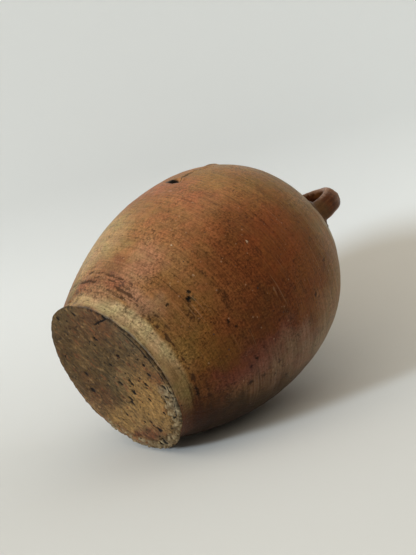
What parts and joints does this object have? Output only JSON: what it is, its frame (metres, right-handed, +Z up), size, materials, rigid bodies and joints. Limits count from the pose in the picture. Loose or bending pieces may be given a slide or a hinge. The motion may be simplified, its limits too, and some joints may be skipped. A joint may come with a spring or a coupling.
{
  "type": "round jug",
  "caption": "Round narrow-necked stoneware jug with a swelling body, flat wire-cut base, rolled rim and a small strap handle on the shoulder.",
  "frame": {"origin": "centre of the underside, on the surface that the upright jug stands on", "axes": "+Z up along the turning axis through the mouth, +X towards the handle"},
  "size_m": [0.18, 0.18, 0.219],
  "materials": {
    "glazed_wall": "satin",
    "bare_clay": "matte",
    "glazed_handle": "gloss"
  },
  "bodies": {
    "root": {"base_slab": "bare_clay", "foot_wall": "glazed_wall", "lower_belly": "glazed_wall", "upper_belly": "glazed_wall", "shoulder": "glazed_wall", "neck": "glazed_wall", "rim": "glazed_wall", "handle_strap": "glazed_handle", "handle_shoulder_wad": "glazed_handle", "handle_neck_wad": "glazed_handle"}
  },
  "joints": []
}
